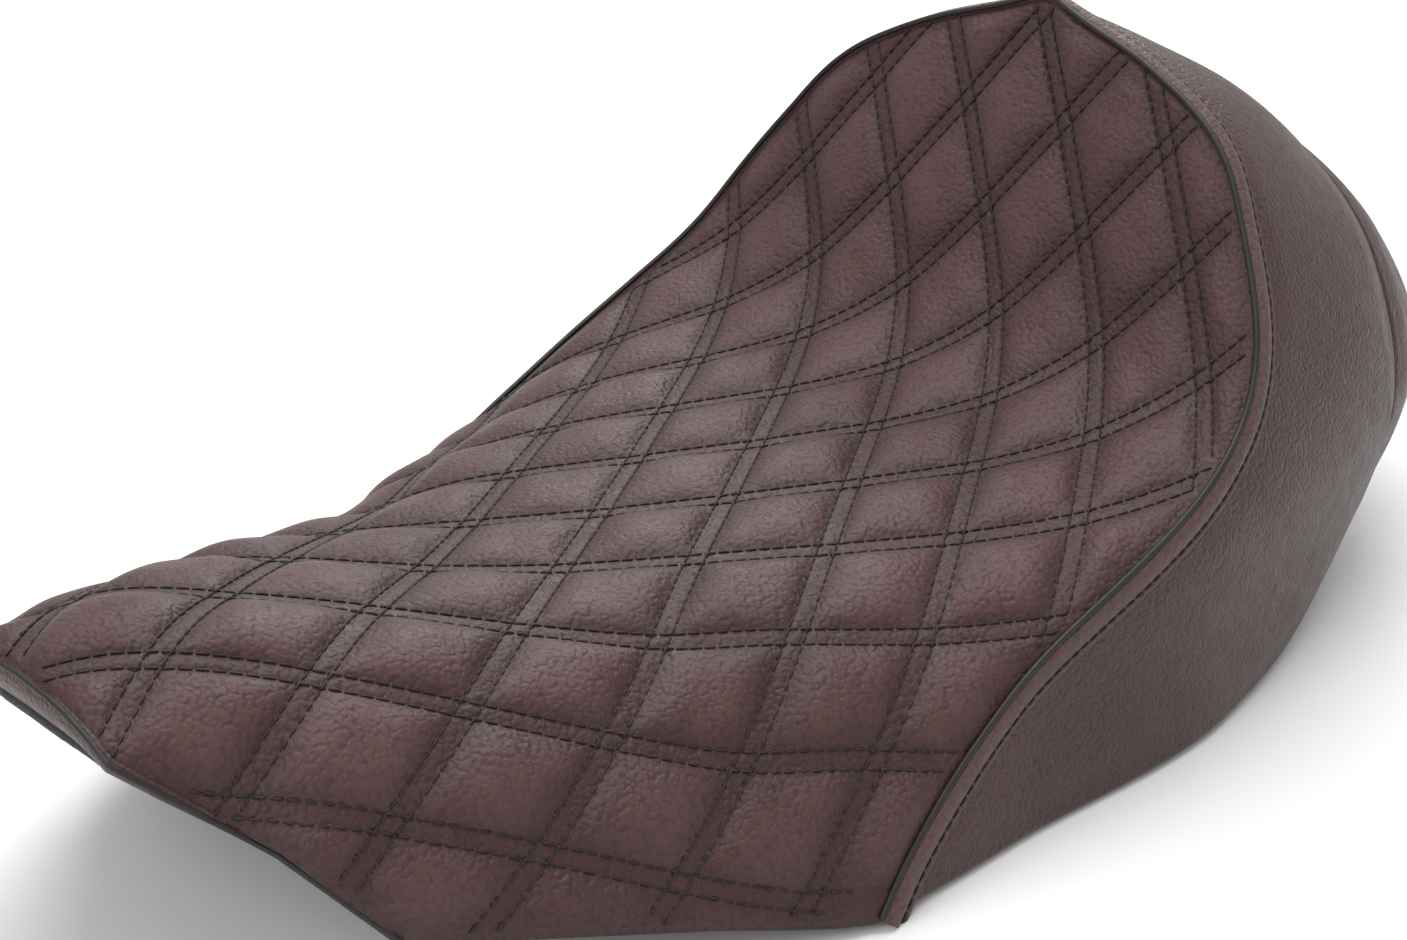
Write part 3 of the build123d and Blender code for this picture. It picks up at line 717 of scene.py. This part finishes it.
top_chain[:, 0] = np.maximum.accumulate(top_chain[:, 0])
print("rear seam from z", round(float(rear_seam[0, 1])), "to", round(float(rear_seam[-1, 1])))

# %% Panels of leather
FULLNESS, ROLL, SEAM_DIP = 1.5, 3.5, 1.3


def rolled(distance, radius=ROLL):
    """How far a rounded edge falls back: radius less the height of its quarter circle."""
    inward = np.maximum(radius - distance, 0)
    return radius - np.sqrt(np.maximum(radius * radius - inward ** 2, 0))


def skirt_panel(low, top, count, rim_share):
    """Points of a panel: (turn, height) mixed from the low to the top chain, set out by a slight
    fullness and slow waves; rolled in along the rim and dipped at a seam."""
    b = np.linspace(0, 1, count)[:, None]
    turn = low[None, :, 0] * (1 - b) + top[None, :, 0] * b
    z = low[None, :, 1] * (1 - b) + top[None, :, 1] * b
    points = skirt_at(turn, z)
    normal = skirt_normal(turn, z)
    towards_middle = np.clip((1 - turn) / 0.03, 0, 1)
    normal[..., 1] = np.where(turn > 0.97, normal[..., 1] * towards_middle, normal[..., 1])
    normal = unit(normal)
    span = np.linalg.norm(points[-1] - points[0], axis=-1)[None]
    from_low, from_top = b * span, (1 - b) * span
    waves = (0.5 * np.sin(points[..., 0] * 0.045 + points[..., 2] * 0.03)
             * np.sin(points[..., 2] * 0.06 + 1))
    full = (FULLNESS + waves) * smooth(from_low / 25) * smooth(from_top / 20)
    full = full - rim_share[None] * rolled(from_low)
    full = full - (1 - rim_share[None]) * SEAM_DIP * (1 - smooth(from_low / 4))
    return points + normal * full[..., None], normal


def shell(outer, normal, thickness=LEATHER):
    """A grid of points with its inner side, thickness further in, and a wall round the border."""
    n, m = outer.shape[:2]
    inner = outer - normal * thickness
    border = np.concatenate([np.arange(m), np.arange(1, n) * m + m - 1,
                             (n - 1) * m + np.arange(m - 2, -1, -1), np.arange(n - 2, 0, -1) * m])
    after = np.roll(border, -1)
    wall = np.stack([border, border + n * m, after + n * m, after], -1)
    return (np.concatenate([outer.reshape(-1, 3), inner.reshape(-1, 3)]),
            np.concatenate([grid_faces(n, m), grid_faces(n, m, n * m)[:, ::-1], wall]))


COLUMNS, PANEL_ROWS = 260, 80
lower_line = spaced_on_skirt(low_chain, COLUMNS)
upper_line = spaced_on_skirt(top_chain, COLUMNS)
is_rim = smooth((rear_seam[0, 0] + 0.004 - lower_line[:, 0]) / 0.008)
side_points, side_normal = skirt_panel(lower_line, upper_line, PANEL_ROWS, is_rim)
for name, flip in (("skirt_left", 1), ("skirt_right", -1)):
    points, faces = shell(side_points * [1, flip, 1], side_normal * [1, flip, 1])
    skirt = weld(mesh_from(name, points, faces, "plain_leather", "cover_" + name))
    print(name, len(skirt.data.polygons), "faces")

# %% The rear panel
REAR_ROWS, REAR_COLUMNS = 120, 110
seam_even = spaced_on_skirt(rear_seam, REAR_ROWS)
seam_low, seam_high = seam_even[0, 1], seam_even[-1, 1]
to_middle = np.linspace(0, 1, REAR_COLUMNS)[None, :]
upwards = ((seam_even[:, 1] - seam_low) / (seam_high - seam_low))[:, None]
panel_turn = seam_even[:, :1] * (1 - to_middle) + 1.0 * to_middle
middle_z = middle_low + (seam_high - middle_low) * upwards
panel_z = seam_even[:, 1:] * (1 - to_middle) + middle_z * to_middle
straight_low = seam_low * (1 - to_middle) + middle_low * to_middle
panel_z = panel_z + (1 - upwards) ** 2 * (on_rim(panel_turn[:1]) - straight_low)
rear_points = skirt_at(panel_turn, panel_z)
rear_normal = skirt_normal(panel_turn, panel_z)
rear_normal[..., 1] *= np.clip((1 - panel_turn) / 0.03, 0, 1)
rear_normal = unit(rear_normal)
from_seam = np.linalg.norm(rear_points - rear_points[:, :1], axis=-1)
steps_up = np.linalg.norm(np.diff(rear_points, axis=0), axis=-1)
from_rim = np.cumsum(np.concatenate([np.zeros((1, REAR_COLUMNS)), steps_up]), 0)
full = (FULLNESS * smooth(from_seam / 20) * smooth(from_rim / 25) - rolled(from_rim)
        - SEAM_DIP * (1 - smooth(from_seam / 4)) * smooth(from_rim / 8))
left_half = rear_points + rear_normal * full[..., None]


def whole(half_grid):
    """A left-hand grid joined to its mirror image along its last column."""
    return np.concatenate([half_grid, mirrored(half_grid[:, ::-1][:, 1:])], 1)


points, faces = shell(whole(left_half), whole(rear_normal))
rear_panel = weld(mesh_from("rear_panel", points, faces, "plain_leather", "cover_rear"))
print("rear panel", len(rear_panel.data.polygons), "faces")

# %% [markdown]
# In front the quilted top is sewn to a narrow plain band that wraps the nose, and below it a
# black rubber edging covers the pan's raked edge. Both follow the front edge from the middle
# outwards; the band narrows to nothing where the edging takes over.

# %% The front edge's path and its directions
front_points = outline[:np.argmax(outline_kind != NOSE_EDGE)]
front_half = spaced(front_points, 120)
front_path = np.concatenate([mirrored(front_half)[::-1], front_half[1:]])
front_tangent = unit(np.gradient(front_path, axis=0))
front_z = front[:, 1] * HEIGHT
rake = np.gradient(front_z) / np.gradient(along(front[:, 0]))
rake_angle = np.interp(front_path[:, 2], front_z[::-1], np.arctan(rake)[::-1])
front_out = np.stack([np.sin(rake_angle), 0 * rake_angle, -np.cos(rake_angle)], -1)
front_out = front_out * np.sign(front_out[:, :1])
front_down = unit(np.cross(front_tangent, front_out))
front_down = front_down * np.where(front_down[:, 2:] > 0, -1, 1)
half_walk = lengths_along(front_half)
front_walk = lengths_along(front_path) - half_walk[-1]
print("front edge", round(float(2 * half_walk[-1])), "mm")

# %% The nose band
BAND_HEIGHT, BAND_ENDS_Z, BAND_TAPER, BAND_LEAST = 12, 68.0, 2.2, 0.3
BAND_TUCKED, BAND_SWELL, BAND_BASE, BAND_INNER = 0.8, 2.0, 0.4, -1.6
band_end = float(np.interp(-BAND_ENDS_Z, -front_half[:, 2], half_walk))
band_share = np.clip(1 - (np.abs(front_walk) / band_end) ** BAND_TAPER, 0, 1)
band_height = BAND_HEIGHT * band_share + BAND_LEAST
keep = np.abs(front_walk) < band_end
kept_height = band_height[keep][:, None]
down_share = np.linspace(0, 1, 15)[None]
band_d = -BAND_TUCKED + down_share * (kept_height + BAND_TUCKED)
band_h = (BAND_BASE + BAND_SWELL * np.sin(np.pi * down_share ** 0.8)
          * np.clip(kept_height / 8, 0.2, 1))
band_outer = np.stack([band_d, band_h], -1)
band_inner = np.stack([band_d[:, ::-1], np.full_like(band_h, BAND_INNER)], -1)
points, faces = carry(front_path[keep], front_down[keep], front_out[keep],
                      np.concatenate([band_outer, band_inner], 1))
band = weld(mesh_from("nose_leather_band", points, faces, "plain_leather", "nose_band"))
print("nose band", len(band.data.polygons), "faces")

# %% The rubber edging and a dark cord of painted shadow in the seam above it
ring = np.linspace(0, 2 * np.pi, 17)[:-1]
edging_d = band_height[:, None] * keep[:, None] + 1.4 + 2.3 * np.cos(ring)[None]
edging_h = -0.2 + 2.0 * np.sin(ring)[None] + 0 * front_walk[:, None]
points, faces = carry(front_path, front_down, front_out, np.stack([edging_d, edging_h], -1))
edging = weld(mesh_from("rubber_edging", points, faces, "edge_rubber", "front_trim"))
# A near-black cord along the seam between the quilted top and the nose band: painted shadow in the
# seam's gap.
points, faces = carry(front_path, front_down, front_out, round_section(1.0, -0.6, 0.5))
nose_seam_shadow = weld(mesh_from("nose_seam_shadow", points, faces, "welt_leather"))
print("edging", len(edging.data.polygons), "faces, piping", len(nose_seam_shadow.data.polygons))

# %% [markdown]
# Under the pan the leather is turned in and stapled. The turned hem is a strip along the rim
# from the front corner to the middle of the rear; where it goes round the tight rear corner
# the spare leather gathers into small pleats.

# %% The line the hem turns round
rim_part = outline[outline_kind == RIM_EDGE]
skirt_rim_turns = np.linspace(foot_turn, 1.0, 500)
skirt_rim = skirt_at(skirt_rim_turns, on_rim(skirt_rim_turns))
rim_half = spaced(np.concatenate([rim_part, skirt_rim[1:]]), 420)
rim_tangent = unit(np.gradient(rim_half * [1, 1, 0], axis=0))
rim_inward = np.stack([rim_tangent[:, 1], -rim_tangent[:, 0], 0 * rim_tangent[:, 0]], -1)
towards_centre = -(rim_inward * (rim_half * [0.4, 1, 0])).sum(-1, keepdims=True)
rim_inward = rim_inward * np.sign(towards_centre)
rim_inward[-1] = [1, 0, 0]
print("rim", round(float(lengths_along(rim_half)[-1])), "mm each side")

# %% The turned hem
HEM, HEM_STARTS, PLEAT = 24.0, 2.6, 0.5
PLEATS_BEHIND_X, PLEAT_BLEND = -140, 60
in_share = np.linspace(0, 1, 16)[None]
reach = HEM_STARTS + in_share * (HEM - HEM_STARTS)
hem_xy = rim_half[:, None] + rim_inward[:, None] * reach[..., None]
rim_walk = lengths_along(rim_half)[:, None]
pleats = (PLEAT * in_share * np.sin(rim_walk * 0.7)
          * smooth((PLEATS_BEHIND_X - rim_half[:, :1]) / PLEAT_BLEND))
arch_lift = lower_edge(rim_half) - rim_height(rim_half[:, 0])
base_z = rim_height(hem_xy[..., 0]) - LEATHER + arch_lift[:, None]
lower = hem_xy.copy()
lower[..., 2] = base_z + 0.45 + pleats * 0.5 + 1.4 * (1 - smooth(in_share * 6))
upper = lower.copy()
upper[..., 2] = np.maximum(base_z + 1.35, lower[..., 2] + 0.4)
strip = np.concatenate([lower, upper[:, ::-1]], 1)
k = strip.shape[1]
one_side = strip.reshape(-1, 3)
points = np.concatenate([one_side, mirrored(one_side)])
half_faces = grid_faces(len(rim_half), k, close=True)
faces = half_faces.tolist() + [list(range(k))[::-1]]
faces += (half_faces[:, ::-1] + len(one_side)).tolist()
faces += [list(range(len(one_side), len(one_side) + k))]
hem = weld(mesh_from("turned_hem", points, faces, "plain_leather", "hem"), 0.0002)
print("hem", len(hem.data.polygons), "faces")

# %% [markdown]
# The leather is brown vinyl with a pebbled grain: round little bumps about a millimetre across,
# a soft satin shine, and a colour that wanders slightly. On the quilted top it is also painted
# darker down in the channels and paler on the crests: painted shade and painted highlight. The
# pebbles' valleys are painted darker as well: painted shade.
# Voronoi cells give the pebbles and noise gives the wandering, both read from Object
# coordinates so the grain has one real size on every piece.

# %% Material helpers
def material(name, roughness=0.5, metallic=0.0, specular=0.5, sheen=0.0, coat=0.0):
    """An empty procedural material: its shader, its nodes and its links."""
    made = bpy.data.materials.new(name)
    made.use_nodes = True
    tree = made.node_tree
    shader = tree.nodes["Principled BSDF"]
    shader.inputs["Roughness"].default_value = roughness
    shader.inputs["Metallic"].default_value = metallic
    shader.inputs["Specular IOR Level"].default_value = specular
    shader.inputs["Sheen Weight"].default_value = sheen
    shader.inputs["Coat Weight"].default_value = coat
    shader.inputs["Coat Roughness"].default_value = 0.35
    return made, tree, shader


def node(tree, kind, inputs=(), **settings):
    """A new node with its settings and its inputs, each a value or another node's output."""
    made = tree.nodes.new(kind)
    for key, value in settings.items():
        setattr(made, key, value)
    for key, value in dict(inputs).items():
        if isinstance(value, bpy.types.NodeSocket):
            tree.links.new(value, made.inputs[key])
        else:
            made.inputs[key].default_value = value
    return made


def ramp(tree, source, stops):
    """A colour ramp through (position, colour) stops."""
    made = tree.nodes.new("ShaderNodeValToRGB")
    tree.links.new(source, made.inputs[0])
    while len(made.color_ramp.elements) < len(stops):
        made.color_ramp.elements.new(0.5)
    for element, (place, colour) in zip(made.color_ramp.elements, stops):
        element.position, element.color = place, (*colour, 1)
    return made.outputs[0]


def noise(tree, where, scale, detail=3.0):
    """Noise at a scale given in waves per metre."""
    settings = {"Vector": where, "Scale": scale, "Detail": detail}
    return node(tree, "ShaderNodeTexNoise", settings).outputs["Fac"]


def maths(tree, operation, *values):
    """A Math node on numbers or other nodes' outputs."""
    return node(tree, "ShaderNodeMath", dict(enumerate(values)), operation=operation).outputs[0]


def roughness_from(tree, shader, source, lowest, highest):
    """Links the roughness to a noise whose values from 0.3 to 0.7 give lowest to highest."""
    span = {"Value": source, "From Min": 0.3, "From Max": 0.7, "To Min": lowest, "To Max": highest}
    tree.links.new(node(tree, "ShaderNodeMapRange", span).outputs[0], shader.inputs["Roughness"])


print("material helpers ready")


# %% The leather's recipe

def leather(name, deep_colour, pale_colour, quilted=False, grain=620.0, roughness=0.50):
    """Pebbled vinyl: colour wanders between deep and pale, Voronoi pebbles in the bump and, as
    painted shade, darker in their valleys. When quilted, the raised attribute adds painted shade
    in the channels and painted highlight on the crests.
    """
    made, tree, shader = material(name, roughness, specular=0.32, sheen=0.04, coat=0.04)
    where = tree.nodes.new("ShaderNodeTexCoord").outputs["Object"]
    cloud, patch = noise(tree, where, 14.0, 4.0), noise(tree, where, 130.0, 3.0)
    tone_and_painted_light = maths(tree, "MULTIPLY", cloud, 0.65)
    tone_and_painted_light = maths(tree, "MULTIPLY_ADD", patch, 0.35, tone_and_painted_light)
    # On the quilted top the swell stored as 'raised' makes the colour paler on the crests and
    # darker in the channels: painted highlight and painted shade, added to the random tone.
    if quilted:
        height = node(tree, "ShaderNodeAttribute", attribute_name="raised").outputs["Fac"]
        tone_and_painted_light = maths(tree, "MULTIPLY_ADD", height, 0.36, tone_and_painted_light)
        tone_and_painted_light = maths(tree, "SUBTRACT", tone_and_painted_light, 0.22)
    colour = ramp(tree, tone_and_painted_light, [(0.28, deep_colour), (0.72, pale_colour)])
    warp_settings = {"Vector": where, "Scale": 300.0, "Detail": 1.0}
    warp = node(tree, "ShaderNodeTexNoise", warp_settings).outputs["Color"]
    bend = node(tree, "ShaderNodeVectorMath", {0: warp, "Scale": 0.0012}, operation="SCALE")
    bent = node(tree, "ShaderNodeVectorMath", {0: where, 1: bend.outputs[0]}, operation="ADD")
    cells = node(tree, "ShaderNodeTexVoronoi", {"Vector": bent.outputs[0], "Scale": grain},
                 feature="SMOOTH_F1").outputs["Distance"]
    valley = ramp(tree, cells, [(0.35, (1, 1, 1)), (0.85, (0, 0, 0))])
    # Multiplying by the valleys darkens the colour between the pebbles: painted shade in the
    # grain's hollows.
    colour_with_valley_shade = node(tree, "ShaderNodeMix", {"Factor": 0.38, 6: colour, 7: valley}, data_type="RGBA",
                  blend_type="MULTIPLY").outputs[2]
    tree.links.new(colour_with_valley_shade, shader.inputs["Base Color"])
    roughness_from(tree, shader, patch, roughness - 0.06, roughness + 0.08)
    creases = noise(tree, where, 420.0, 5.0)
    first = node(tree, "ShaderNodeBump", {"Height": creases, "Strength": 0.35, "Distance": 0.0004})
    pebbles = node(tree, "ShaderNodeBump", {"Height": valley, "Strength": 0.75, "Distance": 0.0006,
                                            "Normal": first.outputs[0]})
    tree.links.new(pebbles.outputs[0], shader.inputs["Normal"])
    return made


print("leather recipe ready")

# %% [markdown]
# Rubber, moulded plastic and plated steel have no pebbles. Fine noise moves their colour, their
# roughness and a shallow bump, which is enough to keep a plain surface from looking painted.


# %% The recipe for moulded and metal parts
def plain(name, deep_colour, pale_colour, roughness, metallic, scale, bump):
    """A moulded or metal surface: noise moves its colour, roughness and bump slightly."""
    made, tree, shader = material(name, roughness, metallic)
    where = tree.nodes.new("ShaderNodeTexCoord").outputs["Object"]
    cloud, grain = noise(tree, where, scale / 12, 3.0), noise(tree, where, scale, 4.0)
    colour = ramp(tree, cloud, [(0.3, deep_colour), (0.7, pale_colour)])
    tree.links.new(colour, shader.inputs["Base Color"])
    roughness_from(tree, shader, grain, roughness - 0.08, roughness + 0.1)
    bumped = node(tree, "ShaderNodeBump", {"Height": grain, "Strength": 0.4, "Distance": bump})
    tree.links.new(bumped.outputs[0], shader.inputs["Normal"])
    return made


print("plain recipe ready")

# %% Materials
# The quilted top's deep colour lies in the channels as painted shade and its pale colour on the
# crests as painted highlight, besides the random tone.
quilted_leather = leather("quilted_leather", (0.046, 0.019, 0.017), (0.088, 0.042, 0.041),
                          quilted=True)
plain_leather = leather("plain_leather", (0.042, 0.018, 0.016), (0.070, 0.033, 0.031),
                        grain=680.0, roughness=0.45)
# The welt is the same leather made paler: painted highlight along its raised ridge.
welt_leather = leather("welt_leather", (0.070, 0.037, 0.034), (0.110, 0.062, 0.058), grain=680.0)
thread = plain("sewing_thread", (0.004, 0.0025, 0.0025), (0.012, 0.008, 0.008), 0.6, 0.0, 2500.0,
               0.0001)
# Near-black cords in the seams' gaps: painted shadow.
painted_seam_shadow = plain("painted_seam_shadow_black", (0.006, 0.005, 0.005), (0.014, 0.011, 0.011), 0.5, 0.0, 900.0,
               0.0001)
rubber = plain("black_rubber", (0.010, 0.010, 0.010), (0.022, 0.022, 0.022), 0.62, 0.0, 700.0,
               0.0001)
pan_plastic = plain("pan_plastic", (0.018, 0.018, 0.019), (0.030, 0.030, 0.031), 0.55, 0.0, 1100.0,
                    0.0002)
zinc = plain("zinc_plate", (0.42, 0.40, 0.34), (0.62, 0.60, 0.53), 0.34, 1.0, 260.0, 0.00003)
rivet_steel = plain("rivet_steel", (0.40, 0.40, 0.41), (0.62, 0.62, 0.62), 0.28, 1.0, 500.0,
                    0.00003)
wire = plain("staple_wire", (0.45, 0.45, 0.46), (0.66, 0.66, 0.67), 0.3, 1.0, 900.0, 0.00002)
print("made", len(bpy.data.materials), "materials")

# %% Which piece has which finish
FINISHES = {"quilted_cushion": quilted_leather,
            "skirt_left": plain_leather, "skirt_right": plain_leather,
            "rear_panel": plain_leather, "nose_leather_band": plain_leather,
            "turned_hem": plain_leather, "welt": welt_leather,
            "welt_seam_shadow_cord": painted_seam_shadow, "nose_seam_shadow": painted_seam_shadow,
            "quilt_thread_rising": thread, "quilt_thread_falling": thread, "welt_thread": thread,
            "rubber_edging": rubber, "seat_pan": pan_plastic, "hem_staples": wire,
            "front_tongue": zinc, "rear_bracket": zinc, "front_backing_plate": zinc,
            "rear_backing_plate": zinc, "front_rivets": rivet_steel, "rear_rivets": rivet_steel,
            "bumper_front_left": rubber, "bumper_front_right": rubber,
            "bumper_rear_left": rubber, "bumper_rear_right": rubber}
for name, finish in FINISHES.items():
    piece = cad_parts.get(name) or bpy.data.objects[name]
    piece.data.materials.clear()
    piece.data.materials.append(finish)
print("finished", len(FINISHES), "pieces")

# %% [markdown]
# A plain pale floor under soft lights, like a catalogue picture: one wide light overhead gives
# the satin highlights on the upward faces, a second from the front left shapes the diamonds,
# and a pale world fills the shadows.

# %% Floor
floor_mesh = bpy.data.meshes.new("floor")
floor_mesh.from_pydata([(-6, -6, 0), (6, -6, 0), (6, 6, 0), (-6, 6, 0)], [], [(0, 1, 2, 3)])
floor = bpy.data.objects.new("floor", floor_mesh)
bpy.context.scene.collection.objects.link(floor)
floor_look, _, floor_shader = material("floor_paper", 0.9, specular=0.1)
floor_shader.inputs["Base Color"].default_value = (0.86, 0.86, 0.86, 1)
floor.data.materials.append(floor_look)
print("floor 12 m square")


# %% Lights and world
def area_light(name, place, aim, size, power):
    """A square soft white light at place that looks at aim."""
    light = bpy.data.lights.new(name, "AREA")
    light.shape, light.size, light.energy = "SQUARE", size, power
    lamp = bpy.data.objects.new(name, light)
    lamp.location = place
    lamp.rotation_euler = (Vector(aim) - Vector(place)).to_track_quat("-Z", "Y").to_euler()
    bpy.context.scene.collection.objects.link(lamp)


area_light("overhead", (-0.2, -0.2, 1.6), (0, 0, 0.1), 1.4, 20)
area_light("front_left", (1.5, 0.5, 1.1), (0.1, 0, 0.1), 1.0, 10)
area_light("rear_right", (-1.4, -1.0, 1.2), (0, 0, 0.15), 0.9, 12)
world = bpy.data.worlds.new("studio")
world.use_nodes = True
background = world.node_tree.nodes["Background"]
background.inputs["Color"].default_value = (1, 1, 1, 1)
background.inputs["Strength"].default_value = 0.62
bpy.context.scene.world = world
print("lights", len(bpy.data.lights))

# %% Camera
camera = bpy.data.objects.new("camera", bpy.data.cameras.new("camera"))
camera.data.sensor_width, camera.data.lens = 36.0, 58.85
camera.data.clip_start = 0.01
camera.location = (0.5844, 0.5494, 0.4419)
camera.rotation_euler = Vector((-0.6382, -0.6489, -0.4143)).to_track_quat("-Z", "Y").to_euler()
bpy.context.scene.collection.objects.link(camera)
bpy.context.scene.camera = camera
bpy.context.scene.view_settings.view_transform = "Standard"
print("camera at", tuple(round(v, 3) for v in camera.location))
